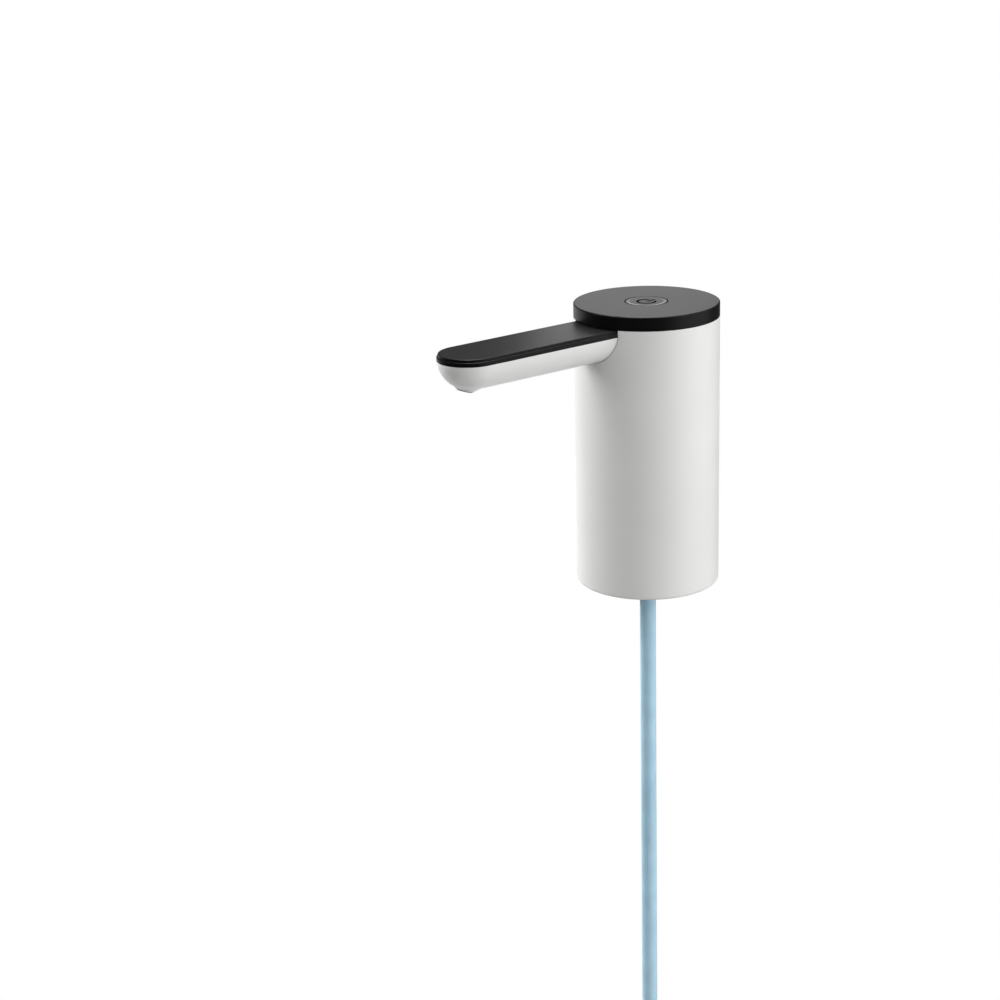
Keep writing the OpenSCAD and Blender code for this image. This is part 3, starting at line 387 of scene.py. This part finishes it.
def sintered(name, colour):
    """Pressed and sintered magnet, with open pores."""
    return moulding(name, colour, roughness=0.62, texture=0.25 * MM, depth=0.02 * MM, share=0.25)


def solder_mask(name, colour):
    """Circuit board: glossy mask over faintly raised tracks."""
    material, tree, shader = new_finish(name)
    tracks = tree.nodes.new("ShaderNodeTexBrick")
    tracks.inputs["Scale"].default_value = 1 / (6 * MM)
    tracks.inputs["Mortar Size"].default_value = 0.06
    tree.links.new(own_place(tree), tracks.inputs["Vector"])
    tree.links.new(mottle(tree, tracks.outputs["Fac"], colour, share=0.35), shader.inputs["Base Color"])
    tree.links.new(spread(tree, grain(tree, 2 * MM), low=0.26, high=0.36), shader.inputs["Roughness"])
    relief(tree, shader, tracks.outputs["Fac"], depth=0.03 * MM)
    return material


def shrink_wrap(name, colour):
    """Thin glossy wrap, drawn tight, with faint ripples."""
    return moulding(name, colour, roughness=0.26, texture=5 * MM, depth=0.03 * MM, share=0.05)


def lead_insulation(name, colour):
    """Extruded insulation of the leads."""
    return moulding(name, colour, roughness=0.38, texture=0.8 * MM, depth=0.006 * MM, share=0.05)


FINISHES = {
    "white_plastic": satin_white,
    "black_plastic": matte_black,
    "dark_plastic": inner_moulding,
    "grey_plastic": inner_moulding,
    "grey_silicone": soft_silicone,
    "clear_silicone": milky_silicone,
    "hose_silicone": milky_silicone,
    "black_rubber": soft_silicone,
    "steel": plated_metal,
    "brass": plated_metal,
    "copper": wound_wire,
    "magnet": sintered,
    "board": solder_mask,
    "cell_wrap": shrink_wrap,
    "red_lead": lead_insulation,
    "white_lead": lead_insulation,
}


def finish_of(slot):
    """The finish of one of the record's material slots, made when it is first asked for."""
    name = slot + "_finish"
    if name not in bpy.data.materials:
        colour = getattr(bpy.context.scene.pump_colours, slot)
        return FINISHES[slot](name, tuple(colour))
    return bpy.data.materials[name]


# Pieces

def body_of(node):
    """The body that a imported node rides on."""
    return next(b for b, nodes in frame["record"]["behaviour"]["bodies"].items() if node in nodes)


def dress(*nodes, finish=None):
    """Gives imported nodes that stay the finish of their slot, or one of their own."""
    for node in nodes:
        for place in frame["nodes"][node].material_slots:
            place.material = finish or finish_of(SLOTS[node])


def piece_from(name, points, body, slot, smooth=40, finish=None):
    """A new piece from a bmesh, on a body, in its slot's finish or its own, smooth up to some degrees."""
    mesh = bpy.data.meshes.new(name)
    bmesh.ops.recalc_face_normals(points, faces=points.faces)
    points.to_mesh(mesh)
    points.free()
    for face in mesh.polygons:
        face.use_smooth = True
    mesh.set_sharp_from_angle(angle=math.radians(smooth))
    mesh.materials.append(finish or finish_of(slot))
    piece = bpy.data.objects.new(name, mesh)
    bpy.context.scene.collection.objects.link(piece)
    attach(piece, body)
    return piece


def soften(node, name, width, wanted=None):
    """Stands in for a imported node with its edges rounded: all of them, or those that are wanted."""
    points = bmesh.new()
    points.from_mesh(frame["nodes"][node].data)
    bmesh.ops.remove_doubles(points, verts=points.verts, dist=MERGE_DISTANCE)
    bmesh.ops.dissolve_limit(points, angle_limit=FLAT_ANGLE, verts=points.verts, edges=points.edges)
    edges = [e for e in points.edges if e.is_manifold and e.calc_face_angle() > EDGE_ANGLE]
    if wanted:
        edges = [e for e in edges if all(wanted(v.co) for v in e.verts)]
    if not edges:
        raise RuntimeError(f"{node} has no edge to round")
    bmesh.ops.bevel(points, geom=edges, offset=width, segments=EDGE_STEPS, profile=0.5, affect="EDGES",
                    clamp_overlap=False)
    piece = piece_from(name, points, body_of(node), SLOTS[node], smooth=35)
    even = piece.modifiers.new("even_normals", "WEIGHTED_NORMAL")
    even.keep_sharp = True
    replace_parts(piece, node)


def band(points, near, far):
    """A closed band of faces between two rings of corners."""
    count = len(near)
    for i in range(count):
        j = (i + 1) % count
        points.faces.new((near[i], near[j], far[j], far[i]))


class PUMP_OT_suction_hose(bpy.types.Operator):
    """Makes the suction hose: a bored tube with a notched tip, along the route of its solid"""

    bl_idname = "pump.suction_hose"
    bl_label = "Suction hose"

    def execute(self, context):
        sizes = context.scene.pump_sizes
        outer = sizes.hose_diameter / 2
        inner = outer - sizes.hose_wall
        top, tip = HOSE_ROUTE[0][2], HOSE_ROUTE[-1][2]
        above_notch = 1 * MM
        last = tip + sizes.hose_notch + above_notch
        rows = 92
        levels = [top + (last - top) * i / rows for i in range(rows + 1)]
        turn = [2 * math.pi * i / sizes.hose_sides for i in range(sizes.hose_sides)]

        points = bmesh.new()
        walls = []
        for radius in (outer, inner):
            plan = [(radius * math.cos(a), radius * math.sin(a)) for a in turn]
            rings = [[points.verts.new((x, y, z)) for x, y in plan] for z in levels]
            rings.append([points.verts.new((x, y, tip + max(0.0, sizes.hose_notch - abs(x))))
                          for x, y in plan])
            walls.append(rings)
        outside, bore = walls
        for near, far in (*zip(outside, outside[1:]), *zip(bore, bore[1:]),
                          (outside[0], bore[0]), (outside[-1], bore[-1])):
            band(points, near, far)
        hose = piece_from("suction_hose_tube", points, body_of("suction_hose"), "hose_silicone")
        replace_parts(hose, "suction_hose")
        return {"FINISHED"}


class PUMP_OT_body(bpy.types.Operator):
    """Makes the white body, with the edges under the lid and round the arm's opening rounded"""

    bl_idname = "pump.body"
    bl_label = "Body"

    def execute(self, context):
        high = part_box("body_shell")[1]
        tolerance = 0.05 * MM
        skin = high.x - tolerance

        def outside(point):
            return math.hypot(point.x, point.y) > skin and point.z > high.z / 2

        soften("body_shell", "body_skin", context.scene.pump_sizes.shell_edge, outside)
        return {"FINISHED"}


class PUMP_OT_lid(bpy.types.Operator):
    """Finishes the black lid and its gasket"""

    bl_idname = "pump.lid"
    bl_label = "Lid"

    def execute(self, context):
        dress("top_lid", "lid_gasket")
        return {"FINISHED"}


def bead(points, path, width, height, sink, ground):
    """A low rounded stroke along a path in plan, with round ends, lying on level ground."""
    end_steps = 6
    across = 8
    fullness = 0.6
    start, finish = (path[0] - path[1]).normalized(), (path[-1] - path[-2]).normalized()
    reach = [math.sin(math.pi / 2 * i / end_steps) for i in range(1, end_steps)]
    full = [(path[0] + start * width / 2 * s, math.sqrt(1 - s * s)) for s in reversed(reach)]
    full += [(p, 1.0) for p in path]
    full += [(path[-1] + finish * width / 2 * s, math.sqrt(1 - s * s)) for s in reach]
    rows = []
    for i, (place, share) in enumerate(full):
        ahead = full[min(i + 1, len(full) - 1)][0] - full[max(i - 1, 0)][0]
        side = Vector((-ahead.y, ahead.x)).normalized()
        row = []
        for j in range(across + 1):
            turn = math.pi * j / across
            spot = place + side * (width / 2 * share * math.cos(turn))
            rise = height * math.sqrt(share) * math.sin(turn) ** fullness if 0 < j < across else 0.0
            row.append(points.verts.new((spot.x, spot.y, ground + rise)))
        for j in (across, 0):
            foot = row[j].co
            row.append(points.verts.new((foot.x, foot.y, foot.z - sink)))
        rows.append(row)
    for near, far in zip(rows, rows[1:]):
        band(points, near, far)
    points.faces.new(rows[0])
    points.faces.new(rows[-1])


class PUMP_OT_button(bpy.types.Operator):
    """Finishes the button and lays a plain power sign in its hollow"""

    bl_idname = "pump.button"
    bl_label = "Button"

    def execute(self, context):
        sizes = context.scene.pump_sizes
        black = tuple(context.scene.pump_colours.black_plastic)
        hollow = sizes.dish_radius - sizes.dish_slope
        dress("button_cap", finish=button_black("button_finish", black, hollow, sizes.dish_radius))

        ring_steps, bar_steps = 60, 8
        first = math.pi / 2 + sizes.sign_gap / 2
        sweep = 2 * math.pi - sizes.sign_gap
        turns = [first + sweep * i / ring_steps for i in range(ring_steps + 1)]
        ring = [Vector((math.cos(a), math.sin(a))) * sizes.sign_radius for a in turns]
        foot, head = 0.15 * sizes.sign_radius, 1.12 * sizes.sign_radius
        bar = [Vector((0, foot + (head - foot) * i / bar_steps)) for i in range(bar_steps + 1)]
        ground = BUTTON_TOP - sizes.dish_depth
        points = bmesh.new()
        for path in (ring, bar):
            bead(points, path, sizes.sign_stroke, sizes.sign_height, sizes.sign_sink, ground)
        piece_from("power_sign", points, body_of("button_cap"), "black_plastic",
                   finish=dull_black("sign_finish", black))
        return {"FINISHED"}


class PUMP_OT_arm(bpy.types.Operator):
    """Makes the spout arm: the white shell with rounded edges, its black cover and the nozzle"""

    bl_idname = "pump.arm"
    bl_label = "Spout arm"

    def execute(self, context):
        sizes = context.scene.pump_sizes
        soften("arm_shell", "arm_skin", sizes.shell_edge)
        soften("nozzle", "nozzle_insert", sizes.fitting_edge)
        dress("arm_cover")
        return {"FINISHED"}


class PUMP_OT_neck_socket(bpy.types.Operator):
    """Makes the socket over the bottle's neck: collar, ribbed grip, hose nipple and screws"""

    bl_idname = "pump.neck_socket"
    bl_label = "Neck socket"

    def execute(self, context):
        sizes = context.scene.pump_sizes
        soften("neck_collar", "collar_ring", sizes.shell_edge)
        soften("neck_grip", "grip_sleeve", sizes.fitting_edge)
        soften("intake_nipple", "hose_nipple", sizes.fitting_edge)
        soften("chassis_screws", "collar_screws", sizes.fitting_edge / 2)
        dress("intake_seal")
        return {"FINISHED"}


def block(points, low, high, round_edge):
    """A box with rounded edges."""
    made = bmesh.ops.create_cube(points, size=1.0)["verts"]
    for v in made:
        v.co = [lo + (c + 0.5) * (hi - lo) for lo, hi, c in zip(low, high, v.co)]
    edges = list({e for v in made for e in v.link_edges})
    bmesh.ops.bevel(points, geom=edges, offset=round_edge, segments=1, profile=0.5, affect="EDGES")


class PUMP_OT_charging_socket(bpy.types.Operator):
    """Makes the charging socket at the back, with contact strips on its tongue"""

    bl_idname = "pump.charging_socket"
    bl_label = "Charging socket"

    def execute(self, context):
        sizes = context.scene.pump_sizes
        soften("usb_socket", "charging_shell", sizes.fitting_edge / 2)
        half_tongue, raised, round_edge = 0.35 * MM, 0.04 * MM, 0.01 * MM
        root, tip = SOCKET_LOW.y + 3 * MM, SOCKET_HIGH.y - 1.6 * MM
        middle = (SOCKET_LOW + SOCKET_HIGH) / 2
        half_width = sizes.contact_width / 2
        points = bmesh.new()
        for side in (-1, 1):
            low, high = sorted(middle.z + side * (half_tongue + rise) for rise in (-raised, raised))
            for i in range(sizes.contact_count):
                x = (i - (sizes.contact_count - 1) / 2) * sizes.contact_pitch
                block(points, (x - half_width, root, low), (x + half_width, tip, high), round_edge)
        piece_from("charging_contacts", points, body_of("usb_socket"), "brass")
        return {"FINISHED"}


class PUMP_OT_inner_works(bpy.types.Operator):
    """Finishes the pieces inside: gear pump, motor, cell, boards and leads"""

    bl_idname = "pump.inner_works"
    bl_label = "Inner works"

    def execute(self, context):
        done = {node for piece in bpy.data.objects for node in piece.get("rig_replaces", [])}
        done.add("button_cap")
        dress(*[node for node in frame["nodes"] if node not in done])
        return {"FINISHED"}


# Studio

# Lamps and their targets stand forth, right and up from here, as the camera sees it
MIDDLE = Vector((0, 0, 0.07))
AT_MIDDLE = (0, 0, 0)

# Each lamp: place, target, size, whether it shows in mirrorings, whether it lights surfaces
LAMPS = {
    "key": ((-0.46, 1.14, 0.35), AT_MIDDLE, (1.8, 1.6), False, True),
    "gloss": ((-0.36, 1.1, 0.33), AT_MIDDLE, (1.7, 1.5), True, False),
    "rim": ((0.46, -1.165, 1.0), AT_MIDDLE, (0.8, 1.1), False, True),
    "top": ((0.1, 0, 1.0), AT_MIDDLE, (0.5, 0.5), True, True),
    "edge": ((0.4, 0, 0.95), AT_MIDDLE, (0.6, 0.25), True, False),
    "back": ((0.2, 0.01, 0.165), (0, 0.01, 0.165), (0.12, 0.2), True, False),
}

# The surrounding light is strongest from the viewer's side, a little to the right
FILL_RIGHT, FILL_BACK = 0.5, 0.866

# The mirrored room is bright ahead, a little to the left and below, and dim elsewhere
BRIGHT_AHEAD, BRIGHT_LEFT, BRIGHT_LEVEL, BRIGHT_BELOW = 0.94, 0.34, 0.819, 0.574
ROOM_EDGE = (0.6, 0.96)
ROOM_LIGHT = (0.04, 1.0)
WHITE = (1, 1, 1, 1)

# Between these distances from its middle the floor goes over into white
FLOOR_FADE = (0.06, 0.28)
FLOOR_SIDES = 96


def aim(place, target):
    """A turned frame at a place whose -Z axis looks at a target."""
    away = (Vector(place) - Vector(target)).normalized()
    return Matrix.Translation(place) @ away.to_track_quat("Z", "Y").to_matrix().to_4x4()


def soft_lamp(name, place, target, size, power, mirrored, lighting):
    """A soft lamp that looks at a target; it may show in mirrorings only, or not in them."""
    lamp = bpy.data.lights.new(name, "AREA")
    lamp.shape = "RECTANGLE"
    lamp.size, lamp.size_y = size
    lamp.energy = power
    holder = bpy.data.objects.new(name, lamp)
    holder.matrix_world = aim(place, target)
    holder.visible_glossy = mirrored
    holder.visible_diffuse = lighting
    bpy.context.scene.collection.objects.link(holder)


def floor_finish(colour, bounce):
    """Pale floor that keeps the shadow near the object, is white further out and open from below."""
    material, tree, shader = new_finish("studio_floor")
    shader.inputs["Roughness"].default_value = 0.8
    seen = tree.nodes.new("ShaderNodeLightPath").outputs["Is Camera Ray"]
    factor, thrown, shown, tint = colour_mix(tree)
    thrown.default_value = (*bounce, 1)
    tree.links.new(mottle(tree, grain(tree, size=0.4), colour, share=0.01), shown)
    tree.links.new(seen, factor)
    tree.links.new(tint, shader.inputs["Base Color"])
    distance = maths(tree, "VectorMath", "LENGTH", own_place(tree))["Value"]
    far = ramp(tree, distance, *FLOOR_FADE, kind="SMOOTHSTEP")
    far_seen = maths(tree, "Math", "MULTIPLY", far, seen)["Value"]
    glow = tree.nodes.new("ShaderNodeEmission").outputs["Emission"]
    below = tree.nodes.new("ShaderNodeNewGeometry").outputs["Backfacing"]
    clear = tree.nodes.new("ShaderNodeBsdfTransparent").outputs["BSDF"]
    upper = shader_mix(tree, far_seen, shader.outputs["BSDF"], glow)
    whole = shader_mix(tree, below, upper, clear)
    tree.links.new(whole, tree.nodes["Material Output"].inputs["Surface"])
    return material


def surroundings(fill, slope, strong_side, bright_side):
    """White to the camera, a fill with a strong side, and a mirrored room with a bright side."""
    world = bpy.data.worlds.new("studio")
    bpy.context.scene.world = world
    world.use_nodes = True
    tree = world.node_tree
    rays = tree.nodes.new("ShaderNodeLightPath").outputs
    toward = tree.nodes.new("ShaderNodeTexCoord").outputs["Generated"]
    even = tree.nodes["Background"]
    mirrored = tree.nodes.new("ShaderNodeBackground")
    backdrop = tree.nodes.new("ShaderNodeBackground")
    for background in (even, mirrored, backdrop):
        background.inputs["Color"].default_value = WHITE
    facing = maths(tree, "VectorMath", "DOT_PRODUCT", toward, strong_side)["Value"]
    gain = maths(tree, "Math", "MULTIPLY_ADD", facing, slope, fill)["Value"]
    tree.links.new(gain, even.inputs["Strength"])
    along = maths(tree, "VectorMath", "DOT_PRODUCT", toward, bright_side)["Value"]
    room = ramp(tree, along, *ROOM_EDGE, *ROOM_LIGHT, kind="SMOOTHSTEP")
    tree.links.new(room, mirrored.inputs["Strength"])
    light = shader_mix(tree, rays["Is Glossy Ray"], even.outputs["Background"],
                       mirrored.outputs["Background"])
    through = maths(tree, "Math", "MAXIMUM", rays["Is Camera Ray"], rays["Is Transmission Ray"])["Value"]
    whole = shader_mix(tree, through, light, backdrop.outputs["Background"])
    tree.links.new(whole, tree.nodes["World Output"].inputs["Surface"])


class PUMP_OT_stage(bpy.types.Operator):
    """Sets up the floor, the lamps, the surroundings and the camera"""

    bl_idname = "pump.stage"
    bl_label = "Studio"

    def execute(self, context):
        scene = context.scene
        studio = scene.pump_studio
        colours = scene.pump_colours
        scene.view_settings.view_transform = "Standard"
        heading, tilt, roll = studio.camera_heading, studio.camera_tilt, studio.camera_roll
        forward = Vector((math.cos(heading) * math.cos(tilt), math.sin(heading) * math.cos(tilt),
                          -math.sin(tilt)))
        right = Vector((math.sin(heading), -math.cos(heading), 0))
        down = forward.cross(right)
        across = right * math.cos(roll) + down * math.sin(roll)
        up = right * math.sin(roll) - down * math.cos(roll)
        lens = bpy.data.cameras.new("camera")
        lens.lens = studio.camera_lens
        lens.sensor_width = studio.camera_sensor
        camera = bpy.data.objects.new("camera", lens)
        turn = Matrix((across, up, -forward)).transposed().to_4x4()
        camera.matrix_world = Matrix.Translation(studio.camera_place) @ turn
        scene.collection.objects.link(camera)
        scene.camera = camera

        points = bmesh.new()
        bmesh.ops.create_circle(points, cap_ends=True, segments=FLOOR_SIDES, radius=studio.floor_radius)
        mesh = bpy.data.meshes.new("floor")
        points.to_mesh(mesh)
        points.free()
        mesh.materials.append(floor_finish(tuple(colours.floor), tuple(colours.floor_bounce)))
        floor = bpy.data.objects.new("floor", mesh)
        floor.location.z = HOSE_ROUTE[-1][2] - studio.floor_drop
        floor.visible_glossy = False
        scene.collection.objects.link(floor)

        ahead = Vector((forward.x, forward.y, 0)).normalized()
        strong_side = right * FILL_RIGHT - ahead * FILL_BACK
        bright_plan = (ahead * BRIGHT_AHEAD - right * BRIGHT_LEFT) * BRIGHT_LEVEL
        bright_side = (bright_plan - Vector((0, 0, BRIGHT_BELOW))).normalized()
        surroundings(studio.fill, studio.fill_slope, strong_side, bright_side)

        def spot(forth, aside, rise):
            return MIDDLE + ahead * forth + right * aside + Vector((0, 0, rise))

        for name, (place, target, size, mirrored, lighting) in LAMPS.items():
            power = getattr(studio, name + "_power")
            soft_lamp(name, spot(*place), spot(*target), size, power, mirrored, lighting)
        return {"FINISHED"}


OPERATORS = (
    PUMP_OT_suction_hose,
    PUMP_OT_body,
    PUMP_OT_lid,
    PUMP_OT_button,
    PUMP_OT_arm,
    PUMP_OT_neck_socket,
    PUMP_OT_charging_socket,
    PUMP_OT_inner_works,
    PUMP_OT_stage,
)


class PUMP_PT_panel(bpy.types.Panel):
    """Lists the steps that make the pump"""

    bl_idname = "PUMP_PT_panel"
    bl_label = "Jug pump"
    bl_space_type = "VIEW_3D"
    bl_region_type = "UI"
    bl_category = "Jug pump"

    def draw(self, context):
        for operator in OPERATORS:
            self.layout.operator(operator.bl_idname)


GROUPS = {"pump_sizes": PumpSizes, "pump_colours": PumpColours, "pump_studio": PumpStudio}


def register():
    """Registers the classes and hangs the settings on the scene."""
    for group in (*GROUPS.values(), *OPERATORS, PUMP_PT_panel):
        bpy.utils.register_class(group)
    for name, group in GROUPS.items():
        setattr(bpy.types.Scene, name, PointerProperty(type=group))


def unregister():
    """Takes away what register added."""
    for name in GROUPS:
        delattr(bpy.types.Scene, name)
    for group in (PUMP_PT_panel, *reversed(OPERATORS), *reversed(list(GROUPS.values()))):
        bpy.utils.unregister_class(group)


def main():
    """Makes the pump and its studio."""
    register()
    for operator in OPERATORS:
        group, step = operator.bl_idname.split(".")
        getattr(getattr(bpy.ops, group), step)()


if __name__ == "__main__":
    main()
